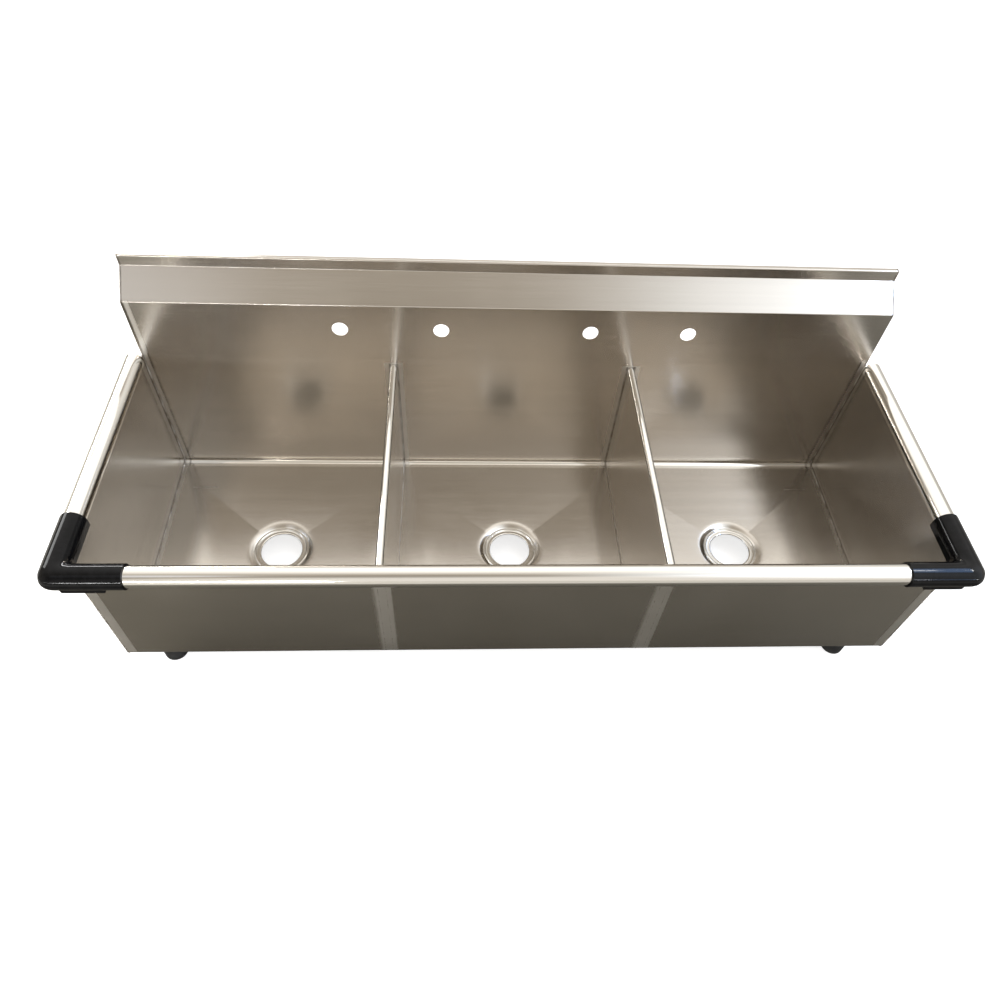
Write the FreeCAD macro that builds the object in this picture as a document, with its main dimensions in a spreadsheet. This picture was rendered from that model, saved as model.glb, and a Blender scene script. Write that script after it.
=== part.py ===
"""Three compartment sink: one long trough of bent sheet with two dividers, a splash and rolled rims."""
import FreeCAD, Part
import math
import operator
import os
import Sketcher
from FreeCAD import Placement, Rotation, Vector

# Lengths are in millimetres. The working frame has x = 0 at mid length, y = 0 on the inside face of the
# front apron and z = 0 on the flat border of the bowl floors. Each finished piece is then moved by one
# common step, so that the origin lies under the middle of the sink, on the ground.
DIMENSIONS = (
    ("gauge", 1.2, "thickness of all bent sheet"),
    ("trough_half", 766, "mid length to the inside face of an end panel"),
    ("reach", 511, "inside face of the apron to the front face of the splash"),
    ("bowl_depth", 330, "floor border to the top of the rims"),
    ("cove_radius", 13, "inside radius where the walls turn into the floor"),
    ("floor_lip", 4, "flat strip between a cove and the seam with a floor pan"),
    ("rim_radius", 19.05, "outside radius of the rolled rims"),
    ("crease_height", 458.5, "floor border to the lower crease of the splash"),
    ("return_run", 53, "how far the sloping return goes back"),
    ("return_rise", 45, "how far the sloping return goes up"),
    ("tile_edge", 23, "height of the upright tile edge"),
    ("top_flange", 12, "how far the top goes back to the wall"),
    ("top_fall", 1, "how far the top falls on the way"),
    ("lip_drop", 12, "height of the lip that lies against the wall"),
    ("bend_radius", 1.5, "inside radius of the sharp bends"),
    ("faucet_height", 401, "floor border to the faucet holes"),
    ("faucet_radius", 16, "radius of a faucet hole"),
    ("faucet_pitch", 203.2, "distance between the two holes of a faucet"),
    ("bowl_pitch", 508, "distance between bowl middles"),
    ("divider_width", 15, "overall thickness of a folded divider"),
    ("divider_top", 310, "floor border to the round top of a divider"),
    ("drain_back", 260, "inside face of the apron to the middle of a drain"),
    ("drain_radius", 44.5, "radius of a drain hole"),
    ("recess_radius", 62, "radius of the flat ring round a drain hole"),
    ("recess_depth", 14, "floor border down to the flat ring"),
    ("dish_slope", 1.5, "run over rise of the wall round the flat ring"),
    ("fall_depth", 11, "depth that the four floor slopes aim at under the drain"),
    ("fall_half_x", 200, "half length of the sloping floor"),
    ("fall_half_y", 168, "half depth of the sloping floor"),
    ("guard_radius", 22.5, "outside radius of a corner guard"),
    ("guard_leg", 118, "rim corner to either end of a corner guard"),
    ("guard_gap", 0.15, "clearance between a corner guard and the rim"),
    ("skirt_drop", 14, "rim axis to the lower edge of the guard's inside skirt"),
    ("web_radius", 16, "plan radius in the inside corner of a guard"),
    ("lug_near", 7, "rim corner to the near end of the guard's lug"),
    ("lug_far", 81, "rim corner to the far end of the guard's lug"),
    ("lug_half", 15, "half depth of the lug"),
    ("lug_drop", 27.5, "rim axis to the lower face of the lug"),
    ("cap_flange", 12, "depth of a splash end cap behind the flat of the splash"),
    ("cap_shoulder", 40, "crease down to where an end cap narrows"),
    ("socket_x", 704, "mid length to a leg socket"),
    ("socket_inset", 45, "trough wall to the middle of a leg socket"),
    ("socket_radius", 23.5, "outside radius of a leg socket"),
    ("socket_bore", 20.9, "radius of the bore that takes the leg"),
    ("socket_length", 65, "length of a leg socket"),
    ("plate_side", 76, "side of the square plate over a leg socket"),
    ("plate_thickness", 4, "thickness of that plate"),
    ("plate_round", 8, "corner radius of that plate"),
    ("boss_radius", 8, "radius of the boss for the set screw"),
    ("boss_reach", 30, "socket axis to the face of the boss"),
    ("screw_height", 24, "lower end of a leg socket to the set screw"),
    ("screw_radius", 3.95, "radius of a set screw"),
    ("screw_play", 0.05, "radial play of a set screw in its thread"),
    ("screw_length", 14, "length of a set screw"),
    ("key_radius", 2.3, "corner radius of the hexagon key socket"),
    ("key_depth", 5, "depth of the hexagon key socket"),
)

ACROSS = Rotation(Vector(0, 1, 0), 90)
BACKWARD = Rotation(Vector(1, 0, 0), -90)
UPRIGHT = Rotation()
HALF_TURN = Rotation(Vector(0, 0, 1), 180)
SIDES = (("left", -1), ("right", 1))

doc = FreeCAD.newDocument("sink")
sheet = doc.addObject("Spreadsheet::Sheet", "Sizes")
pieces = []


# --- sizes ------------------------------------------------------------------------------------------

def combined(sign, work):
    """Make an operator that works on the values and writes the same sum as a formula."""
    def method(left, right):
        right = as_size(right)
        return Size(work(left.value, right.value), f"({left.formula} {sign} {right.formula})")
    return method


class Size:
    """A length with its value and the sheet formula that it follows."""

    def __init__(self, value, formula):
        self.value = value
        self.formula = formula

    __add__ = __radd__ = combined("+", operator.add)
    __sub__ = combined("-", operator.sub)
    __mul__ = __rmul__ = combined("*", operator.mul)
    __truediv__ = combined("/", operator.truediv)

    def __neg__(self):
        return self * -1

    def root(self):
        return Size(math.sqrt(self.value), f"sqrt({self.formula})")


def as_size(term):
    return term if isinstance(term, Size) else Size(term, str(term))


def fill_sheet():
    """Write the driving dimensions into the sheet and return them by name."""
    for row, (name, value, meaning) in enumerate(DIMENSIONS, 1):
        sheet.set(f"A{row}", meaning)
        sheet.set(f"B{row}", str(value))
        sheet.setAlias(f"B{row}", name)
    doc.recompute()
    return {name: Size(sheet.get(name), f"Sizes.{name}") for name, _, _ in DIMENSIONS}


def bind(thing, setting, size):
    thing.setExpression(setting, as_size(size).formula)


dim = fill_sheet()
gauge = dim["gauge"]
trough_half = dim["trough_half"]
reach = dim["reach"]
cove = dim["cove_radius"]
seam = cove + dim["floor_lip"]
rim = dim["rim_radius"]
rim_height = dim["bowl_depth"] - rim
rim_line = trough_half + rim
ground_drop = gauge + dim["plate_thickness"] + dim["socket_length"]
middle_back = (reach + dim["return_run"] + dim["top_flange"] - rim - dim["guard_radius"]) / 2


# --- sketches and bodies ----------------------------------------------------------------------------

def new_body(label):
    return doc.addObject("PartDesign::Body", label)


def new_sketch(body, role):
    """Attach a sketch to one of the body's own origin planes."""
    sketch = body.newObject("Sketcher::SketchObject", "Sketch")
    plane = next(item for item in body.Origin.OriginFeatures if item.Role == role)
    sketch.AttachmentSupport = [(plane, "")]
    sketch.MapMode = "FlatFace"
    return sketch


def spot(across, up):
    return Vector(as_size(across).value, as_size(up).value, 0)


def hold(sketch, size, kind, *where):
    """Add a dimension to the sketch and tie it to its formula."""
    size = as_size(size)
    index = sketch.addConstraint(Sketcher.Constraint(kind, *where, size.value))
    bind(sketch, f"Constraints[{index}]", size)


def pin(sketch, edge, end, across, up):
    """Hold one point of an edge at its distances from the sketch's origin."""
    hold(sketch, across, "DistanceX", -1, 1, edge, end)
    hold(sketch, up, "DistanceY", -1, 1, edge, end)


def outline(sketch, corners):
    """Draw a closed loop of straight lines through the corners."""
    first = sketch.GeometryCount
    following = corners[1:] + corners[:1]
    for start, finish in zip(corners, following):
        sketch.addGeometry(Part.LineSegment(spot(*start), spot(*finish)))
    for step, corner in enumerate(corners):
        after = first + (step + 1) % len(corners)
        sketch.addConstraint(Sketcher.Constraint("Coincident", first + step, 2, after, 1))
        pin(sketch, first + step, 1, *corner)


def circle(sketch, across, up, radius):
    edge = sketch.addGeometry(Part.Circle(spot(across, up), Vector(0, 0, 1), radius.value))
    pin(sketch, edge, 3, across, up)
    hold(sketch, radius, "Radius", edge)


def arc(sketch, across, up, radius, start, finish):
    """Draw an arc between two angles, each a whole number of quarter turns."""
    whole = Part.Circle(spot(across, up), Vector(0, 0, 1), radius.value)
    edge = sketch.addGeometry(Part.ArcOfCircle(whole, math.radians(start), math.radians(finish)))
    pin(sketch, edge, 3, across, up)
    hold(sketch, radius, "Radius", edge)
    for end, angle in ((1, start), (2, finish)):
        kind = "Horizontal" if angle % 180 == 0 else "Vertical"
        sketch.addConstraint(Sketcher.Constraint(kind, edge, 3, edge, end))
    return edge


def link(sketch, first, first_end, second, second_end):
    """Join two edge ends with a straight line."""
    start = sketch.getPoint(first, first_end)
    finish = sketch.getPoint(second, second_end)
    line = sketch.addGeometry(Part.LineSegment(start, finish))
    sketch.addConstraint(Sketcher.Constraint("Coincident", line, 1, first, first_end))
    sketch.addConstraint(Sketcher.Constraint("Coincident", line, 2, second, second_end))
    return line


def curl(sketch, middle, wall_side):
    """Draw the rolled rim: from the wall over the top and round to the bottom."""
    start, finish = (0, 270) if wall_side > 0 else (-90, 180)
    outer = arc(sketch, middle, rim_height, rim, start, finish)
    inner = arc(sketch, middle, rim_height, rim - gauge, start, finish)
    for end in (1, 2):
        link(sketch, outer, end, inner, end)


def arch(sketch, middle, half_width, crown):
    """Draw an upright strip on the floor line with a round top."""
    top = arc(sketch, middle, crown - half_width, half_width, 0, 180)
    legs = []
    for end, across in ((1, middle + half_width), (2, middle - half_width)):
        line = sketch.addGeometry(Part.LineSegment(sketch.getPoint(top, end), spot(across, 0)))
        sketch.addConstraint(Sketcher.Constraint("Coincident", line, 1, top, end))
        pin(sketch, line, 2, across, 0)
        legs.append(line)
    link(sketch, legs[0], 2, legs[1], 2)


def pad(body, sketch, low, high, along=1):
    """Extrude from low to high; along is -1 where the sketch's normal points to the front."""
    low, high = as_size(low), as_size(high)
    bind(sketch, "AttachmentOffset.Base.z", low if along > 0 else -high)
    feature = body.newObject("PartDesign::Pad", "Pad")
    feature.Profile = sketch
    bind(feature, "Length", high - low)
    doc.recompute()


def pocket(body, sketch):
    """Cut right through, both ways, and make sure that something went."""
    before = body.Tip.Shape.Volume
    feature = body.newObject("PartDesign::Pocket", "Pocket")
    feature.Profile = sketch
    feature.Type = "ThroughAll"
    feature.SideType = "Symmetric"
    doc.recompute()
    assert feature.Shape.Volume < before, f"{body.Label}: a pocket cut nothing"


def bend(body, radius, spots):
    """Round the edges along x that pass through the (y, z) spots."""
    base = body.Tip
    names = []
    for number, edge in enumerate(base.Shape.Edges, 1):
        middle = edge.CenterOfMass
        lies_along = abs(edge.tangentAt(edge.FirstParameter).x) > 0.999
        if lies_along and any((Vector(0, middle.y, middle.z) - where).Length < 0.01 for where in spots):
            names.append(f"Edge{number}")
    assert len(names) >= len(spots), f"{body.Label}: a bend found no edge"
    feature = body.newObject("PartDesign::Fillet", "Bend")
    feature.Base = (base, names)
    bind(feature, "Radius", radius)
    doc.recompute()


def fold(back, height):
    """The place of a bend, as a (y, z) spot."""
    return Vector(0, as_size(back).value, as_size(height).value)


# --- primitives and booleans ------------------------------------------------------------------------

def solid(kind, where, turn=UPRIGHT, **sizes):
    """Make a Part primitive of the given sizes at a place, turned as told."""
    shape = doc.addObject(f"Part::{kind}", kind)
    for setting, size in sizes.items():
        bind(shape, setting, size)
    place(shape, where, turn)
    return shape


def block(low, high):
    """A box from its lowest to its highest corner."""
    spans = [as_size(top) - bottom for bottom, top in zip(low, high)]
    return solid("Box", low, Length=spans[0], Width=spans[1], Height=spans[2])


def place(shape, where, turn=UPRIGHT):
    shape.Placement = Placement(Vector(), turn)
    for axis, size in zip("xyz", where):
        bind(shape, f"Placement.Base.{axis}", size)


def fuse(*shapes):
    joined = doc.addObject("Part::MultiFuse", "Joined")
    joined.Shapes = list(shapes)
    return joined


def cut(base, tool):
    rest = doc.addObject("Part::Cut", "Cut")
    rest.Base = base
    rest.Tool = tool
    return rest


def keep(shape, label, where=(0, 0, 0), turn=UPRIGHT):
    """Name a finished piece and move it from the working frame to the sink's own frame."""
    across, back, height = where
    shape.Label = label
    place(shape, (across, as_size(back) - middle_back, as_size(height) + ground_drop), turn)
    pieces.append(shape)
    return shape


def keep_mirrored(source, label):
    """Add the same piece for the other end of the sink."""
    twin = doc.addObject("Part::Mirroring", label)
    twin.Source = source
    twin.Normal = Vector(1, 0, 0)
    twin.Label = label
    pieces.append(twin)


# --- bent sheet -------------------------------------------------------------------------------------

def splash_face():
    """Heights of the creases and the top, then how far back the tile edge and the lip stand."""
    crease = dim["crease_height"]
    shoulder = crease + dim["return_rise"]
    top = shoulder + dim["tile_edge"]
    edge = reach + dim["return_run"]
    return crease, shoulder, top, edge, edge + dim["top_flange"]


def back_sheet():
    """Rear wall, splash, sloping return, tile edge and wall lip, bent from one sheet."""
    crease, shoulder, top, edge, back = splash_face()
    slope = (dim["return_run"] * dim["return_run"] + dim["return_rise"] * dim["return_rise"]).root()
    shift = (slope - dim["return_rise"]) / dim["return_run"] * gauge
    low_top = top - dim["top_fall"]
    lip_foot = low_top - dim["lip_drop"]
    body = new_body("back_sheet")
    profile = new_sketch(body, "YZ_Plane")
    outline(profile, [
        (reach - seam, 0), (reach, 0), (reach, crease), (edge, shoulder), (edge, top),
        (back, low_top), (back, lip_foot), (back - gauge, lip_foot), (back - gauge, low_top - gauge),
        (edge + gauge, top - gauge), (edge + gauge, shoulder - shift), (reach + gauge, crease - shift),
        (reach + gauge, -gauge), (reach - seam, -gauge),
    ])
    pad(body, profile, -trough_half, trough_half)
    bend(body, cove, [fold(reach, 0)])
    bend(body, cove + gauge, [fold(reach + gauge, -gauge)])
    bend(body, dim["bend_radius"] + gauge, [
        fold(reach, crease), fold(edge + gauge, shoulder - shift), fold(edge, top), fold(back, low_top),
    ])
    bend(body, dim["bend_radius"], [
        fold(edge, shoulder), fold(reach + gauge, crease - shift), fold(edge + gauge, top - gauge),
        fold(back - gauge, low_top - gauge),
    ])
    holes = new_sketch(body, "XZ_Plane")
    for middle in (-dim["bowl_pitch"] / 2, dim["bowl_pitch"] / 2):
        for step in (-dim["faucet_pitch"] / 2, dim["faucet_pitch"] / 2):
            circle(holes, middle + step, dim["faucet_height"], dim["faucet_radius"])
    pocket(body, holes)
    keep(body, "back_sheet")


def front_apron():
    """Front wall with its cove below and the rolled rim above, mitred at both ends."""
    body = new_body("front_apron")
    wall = new_sketch(body, "YZ_Plane")
    outline(wall, [
        (0, rim_height), (0, 0), (seam, 0), (seam, -gauge), (-gauge, -gauge), (-gauge, rim_height),
    ])
    pad(body, wall, -(trough_half + gauge), trough_half + gauge)
    bend(body, cove, [fold(0, 0)])
    bend(body, cove + gauge, [fold(-gauge, -gauge)])
    roll = new_sketch(body, "YZ_Plane")
    curl(roll, -rim, 1)
    pad(body, roll, -rim_line, rim_line)
    ends = new_sketch(body, "XY_Plane")
    beyond = rim * 3
    for _, side in SIDES:
        outline(ends, [
            (trough_half * side, 0), (trough_half * side, beyond),
            ((trough_half + beyond) * side, beyond), ((trough_half + beyond) * side, -beyond),
        ])
    pocket(body, ends)
    keep(body, "front_apron")


def end_panels():
    """End wall with the side rim rolled outwards, mitred to the front rim."""
    body = new_body("end_panel_right")
    wall = new_sketch(body, "YZ_Plane")
    outline(wall, [
        (-gauge, -gauge), (reach + gauge, -gauge), (reach + gauge, rim_height), (-gauge, rim_height),
    ])
    pad(body, wall, trough_half, trough_half + gauge)
    bend(body, cove + gauge, [fold(-gauge, -gauge), fold(reach + gauge, -gauge)])
    roll = new_sketch(body, "XZ_Plane")
    curl(roll, rim_line, -1)
    pad(body, roll, -rim, reach + gauge, along=-1)
    corner = new_sketch(body, "XY_Plane")
    beyond = rim * 3
    outline(corner, [
        (trough_half, 0), (trough_half + beyond, -beyond), (trough_half, -beyond),
    ])
    pocket(body, corner)
    keep(body, "end_panel_right")
    keep_mirrored(body, "end_panel_left")


def dividers():
    """Double walls, each folded from one sheet over a round top and open below."""
    half = dim["divider_width"] / 2
    for name, side in SIDES:
        middle = dim["bowl_pitch"] / 2 * side
        body = new_body(f"divider_{name}")
        outside = new_sketch(body, "XZ_Plane")
        arch(outside, middle, half, dim["divider_top"])
        pad(body, outside, 0, reach, along=-1)
        inside = new_sketch(body, "XZ_Plane")
        arch(inside, middle, half - gauge, dim["divider_top"] - gauge)
        pocket(body, inside)
        bend(body, cove, [fold(0, 0), fold(reach, 0)])
        keep(body, f"divider_{name}")


def splash_end_caps():
    """Plates that close the ends of the splash and of the return behind it."""
    crease, shoulder, top, edge, back = splash_face()
    low_top = top - dim["top_fall"]
    body = new_body("splash_end_cap_right")
    profile = new_sketch(body, "YZ_Plane")
    outline(profile, [
        (reach, dim["bowl_depth"]), (reach, crease), (edge, shoulder), (edge, top), (back, low_top),
        (back, shoulder - dim["cap_flange"]), (reach + dim["cap_flange"], crease - dim["cap_shoulder"]),
        (reach + dim["cap_flange"], dim["bowl_depth"]),
    ])
    pad(body, profile, trough_half, trough_half + gauge)
    bend(body, dim["bend_radius"] + gauge, [fold(edge, top), fold(back, low_top)])
    keep(body, "splash_end_cap_right")
    keep_mirrored(body, "splash_end_cap_left")


# --- floors -----------------------------------------------------------------------------------------

def floor_slopes(middle, top):
    """The space above four slopes that fall from a flat border towards the drain."""
    cut_off = 0.15
    half_x, half_y = dim["fall_half_x"], dim["fall_half_y"]
    return solid(
        "Wedge", (middle, dim["drain_back"], top), BACKWARD,
        Xmin=-half_x, Xmax=half_x, X2min=-half_x * cut_off, X2max=half_x * cut_off,
        Ymin=0, Ymax=dim["fall_depth"] * (1 - cut_off),
        Zmin=-half_y, Zmax=half_y, Z2min=-half_y * cut_off, Z2max=half_y * cut_off,
    )


def drain_dish(middle, top):
    """The space above the flat ring round a drain and its sloping wall."""
    depth = dim["recess_depth"]
    wide = dim["recess_radius"] + depth * dim["dish_slope"]
    return solid("Cone", (middle, dim["drain_back"], top - depth),
                 Radius1=dim["recess_radius"], Radius2=wide, Height=depth)


def floor_pans():
    """Pressed floors with four slopes, a recess and a hole for the drain."""
    half = dim["bowl_pitch"] / 2
    for name, side in (("left", -1), ("middle", 0), ("right", 1)):
        middle = dim["bowl_pitch"] * side
        low = -trough_half if side < 0 else middle - half
        high = trough_half if side > 0 else middle + half
        slab = block((low, seam, -gauge), (high, reach - seam, 0))
        stamped = fuse(slab, floor_slopes(middle, -gauge), drain_dish(middle, -gauge))
        hole = solid("Cylinder", (middle, dim["drain_back"], -dim["recess_depth"] * 2),
                     Radius=dim["drain_radius"], Height=dim["recess_depth"] * 2)
        hollow = fuse(floor_slopes(middle, as_size(0)), drain_dish(middle, as_size(0)), hole)
        keep(cut(stamped, hollow), f"floor_pan_{name}")


# --- corner guards ----------------------------------------------------------------------------------

def rim_elbow(radius, length):
    """Two round bars along the rims and a ball where they meet."""
    corner = (rim_line, -rim, rim_height)
    along_front = solid("Cylinder", (rim_line - length, -rim, rim_height), ACROSS,
                        Radius=radius, Height=length)
    along_side = solid("Cylinder", corner, BACKWARD, Radius=radius, Height=length)
    ball = solid("Sphere", corner, Radius=radius)
    return fuse(along_front, along_side, ball)


def corner_guards():
    """Moulded sleeves over the two front rim corners, slit where they straddle the walls."""
    leg, gap, outer = dim["guard_leg"], dim["guard_gap"], dim["guard_radius"]
    proud = outer - rim
    inside_x = trough_half - proud
    low = rim_height - dim["skirt_drop"]
    leg_end = rim_line - leg
    web_x, web_y = inside_x - dim["web_radius"], proud + dim["web_radius"]
    front_skirt = block((leg_end, 0, low), (inside_x, proud, rim_height))
    side_skirt = block((inside_x, 0, low), (trough_half, leg - rim, rim_height))
    web_block = block((web_x, proud, low), (inside_x, web_y, rim_height + dim["skirt_drop"]))
    web_hollow = solid("Cylinder", (web_x, web_y, low),
                       Radius=dim["web_radius"], Height=dim["skirt_drop"] * 3)
    lug = block((rim_line - dim["lug_far"], -rim - dim["lug_half"], rim_height - dim["lug_drop"]),
                (rim_line - dim["lug_near"], -rim + dim["lug_half"], rim_height))
    outside = fuse(rim_elbow(outer, leg), front_skirt, side_skirt, cut(web_block, web_hollow), lug)
    deep = rim_height - outer * 2
    front_slit = block((leg_end - outer, -gauge - gap, deep), (trough_half + gap, gap, rim_height))
    side_slit = block((trough_half - gap, -gauge - gap, deep),
                      (trough_half + gauge + gap, leg + outer, rim_height))
    inside = fuse(rim_elbow(rim + gap, leg + outer), front_slit, side_slit)
    right = keep(cut(outside, inside), "corner_guard_right")
    keep_mirrored(right, "corner_guard_left")


# --- leg sockets ------------------------------------------------------------------------------------

def leg_socket():
    """Tube for a leg with a boss and a threaded hole on one side, standing on its lower end."""
    length, height = dim["socket_length"], dim["screw_height"]
    tube = solid("Cylinder", (0, 0, 0), Radius=dim["socket_radius"], Height=length)
    boss = solid("Cylinder", (0, 0, height), BACKWARD,
                 Radius=dim["boss_radius"], Height=dim["boss_reach"])
    bore = solid("Cylinder", (0, 0, 0), Radius=dim["socket_bore"], Height=length)
    thread = solid("Cylinder", (0, 0, height), BACKWARD,
                   Radius=dim["screw_radius"] + dim["screw_play"], Height=dim["boss_reach"])
    return cut(fuse(tube, boss), fuse(bore, thread))


def socket_plate():
    """Square plate with round corners that is welded under the floor and carries a socket."""
    half, size = dim["plate_side"] / 2, dim["plate_round"]
    thickness = dim["plate_thickness"]
    bars = [block((-half + size, -half, 0), (half - size, half, thickness)),
            block((-half, -half + size, 0), (half, half - size, thickness))]
    corners = [solid("Cylinder", ((half - size) * x, (half - size) * y, 0), Radius=size, Height=thickness)
               for x in (-1, 1) for y in (-1, 1)]
    return fuse(*bars, *corners)


def set_screw():
    """Headless screw that clamps the leg, with a hexagon key socket in its outer end."""
    start = dim["socket_bore"]
    key_start = start + dim["screw_length"] - dim["key_depth"]
    rod = solid("Cylinder", (0, start, 0), BACKWARD,
                Radius=dim["screw_radius"], Height=dim["screw_length"])
    key = solid("Prism", (0, key_start, 0), BACKWARD,
                Circumradius=dim["key_radius"], Height=dim["key_depth"])
    key.Polygon = 6
    return cut(rod, key)


def leg_mountings():
    """A plate, a socket and a set screw at each of the four corners."""
    for depth_name, back, turn in (("front", dim["socket_inset"], UPRIGHT),
                                   ("rear", reach - dim["socket_inset"], HALF_TURN)):
        for side_name, side in SIDES:
            across = dim["socket_x"] * side
            foot = -ground_drop
            corner = f"{depth_name}_{side_name}"
            keep(leg_socket(), f"leg_socket_{corner}", (across, back, foot), turn)
            keep(socket_plate(), f"socket_plate_{corner}", (across, back, foot + dim["socket_length"]))
            keep(set_screw(), f"set_screw_{corner}", (across, back, foot + dim["screw_height"]), turn)


def export():
    """Check every object and every piece, then write one STEP file for each piece."""
    doc.recompute()
    for item in doc.Objects:
        assert not {"Invalid", "Error"} & set(item.State), f"{item.Label}: {item.State}"
    os.makedirs("parts", exist_ok=True)
    for piece in pieces:
        shape = piece.Shape
        assert not shape.isNull() and shape.isValid(), f"{piece.Label}: bad shape"
        assert len(shape.Solids) == 1, f"{piece.Label}: {len(shape.Solids)} solids"
        shape.exportStep(f"parts/{piece.Label}.step")
        print(f"{piece.Label}: {shape.Volume / 1000:.1f} cm3")
    box = Part.makeCompound([piece.Shape for piece in pieces]).BoundBox
    print(f"{len(pieces)} pieces, {box.XLength:.1f} x {box.YLength:.1f} x {box.ZLength:.1f} mm")
    print(f"x {box.XMin:.2f} {box.XMax:.2f}")
    print(f"y {box.YMin:.2f} {box.YMax:.2f}")
    print(f"z {box.ZMin:.2f} {box.ZMax:.2f}")


back_sheet()
front_apron()
end_panels()
dividers()
splash_end_caps()
floor_pans()
corner_guards()
leg_mountings()
export()
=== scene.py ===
# %% [markdown]
# # A three compartment sink in bent stainless steel
#
# The imported model brings every sheet, guard and socket to its exact place, in metres. This script adds
# what a drawing leaves out: the grain of brushed steel, polishing on the bends with a painted highlight,
# weld seams, the soft pressing of the bowl floors and the moulded shape of the black corner guards.

# %% Load the frame
import bpy
import math
from mathutils import Matrix, Vector


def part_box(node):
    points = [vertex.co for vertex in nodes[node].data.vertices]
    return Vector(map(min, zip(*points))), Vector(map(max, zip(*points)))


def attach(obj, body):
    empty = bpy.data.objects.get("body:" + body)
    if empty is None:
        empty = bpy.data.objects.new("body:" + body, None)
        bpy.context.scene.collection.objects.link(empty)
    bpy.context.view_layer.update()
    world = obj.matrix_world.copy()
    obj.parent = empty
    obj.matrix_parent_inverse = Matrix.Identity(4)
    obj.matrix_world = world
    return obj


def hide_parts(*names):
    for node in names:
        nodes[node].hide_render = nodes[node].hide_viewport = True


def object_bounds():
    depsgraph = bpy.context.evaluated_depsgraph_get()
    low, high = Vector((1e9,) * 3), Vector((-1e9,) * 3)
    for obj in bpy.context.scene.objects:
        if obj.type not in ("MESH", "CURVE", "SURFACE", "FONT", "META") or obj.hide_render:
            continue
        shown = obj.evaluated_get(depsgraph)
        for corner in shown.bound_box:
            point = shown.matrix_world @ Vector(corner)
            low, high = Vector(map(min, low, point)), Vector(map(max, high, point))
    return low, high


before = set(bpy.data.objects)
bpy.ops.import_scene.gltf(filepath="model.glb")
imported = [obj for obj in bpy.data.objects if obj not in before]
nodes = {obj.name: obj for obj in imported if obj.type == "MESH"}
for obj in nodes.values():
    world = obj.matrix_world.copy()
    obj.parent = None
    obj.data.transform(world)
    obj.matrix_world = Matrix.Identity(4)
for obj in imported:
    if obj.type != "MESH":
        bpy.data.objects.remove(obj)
cad_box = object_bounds()
scene = bpy.context.scene

# %% [markdown]
# ## Places that the other steps share
#
# A maker measures from the bowls: the inside of the front apron, the face of the splash, the flat floor
# border and the middle of each drain. The faces are read from the CAD pieces, and a drain lies in the
# middle of its bowl, at a fixed distance from the apron.

# %% Read the shared places
MM = 0.001
SIDES = (("left", -1), ("right", 1))
DRAIN_BACK = 260 * MM
divider_low, divider_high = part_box("divider_right")
apron_y, splash_y = divider_low.y, divider_high.y
floor_z, divider_top = divider_low.z, divider_high.z
end_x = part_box("floor_pan_right")[1].x
divider_x = (divider_low.x + divider_high.x) / 2
rim_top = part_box("front_apron")[1].z
drain_y = apron_y + DRAIN_BACK
drains = {bowl: Vector((place * divider_x, drain_y, floor_z))
          for bowl, place in (("left", -2), ("middle", 0), ("right", 2))}
print("inside depth", round(splash_y - apron_y, 4), "floor at", round(floor_z, 4), "end wall at", end_x)

# %% [markdown]
# ## The camera
#
# The view is from above and a little to the left, as somebody standing in front of the sink sees it
# with a wide phone lens. The camera leans a few degrees, so the sink runs slightly downhill. The small
# shift keeps the sink where it belongs in the frame.

# %% Camera
LENS_MM = 27.5
SENSOR_MM = 36.0
EYE = Vector((-0.1280, -0.99115, 1.4758))
LOOK_DOWN = math.radians(52.08)
TURN_RIGHT = math.radians(5.53)
LEAN = math.radians(4.49)

camera_data = bpy.data.cameras.new("camera")
camera_data.lens = LENS_MM
camera_data.sensor_width = SENSOR_MM
camera_data.shift_x = 0.0017
camera_data.shift_y = 0.0089
camera = bpy.data.objects.new("camera", camera_data)
camera.matrix_world = (
    Matrix.Translation(EYE)
    @ Matrix.Rotation(-TURN_RIGHT, 4, "Z")
    @ Matrix.Rotation(math.pi / 2 - LOOK_DOWN, 4, "X")
    @ Matrix.Rotation(LEAN, 4, "Z")
)
scene.collection.objects.link(camera)
scene.camera = camera
scene.view_settings.view_transform = "Standard"
print("camera at", tuple(round(v, 3) for v in camera.location))

# %% [markdown]
# ## A helper for node trees
#
# Every finish below is a small tree of shader nodes. Wiring nodes by hand takes many lines, so a short
# class adds a node, sets its inputs and links whatever comes from another node. An input that is given
# a number is set, and an input that is given a socket is linked.

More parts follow.
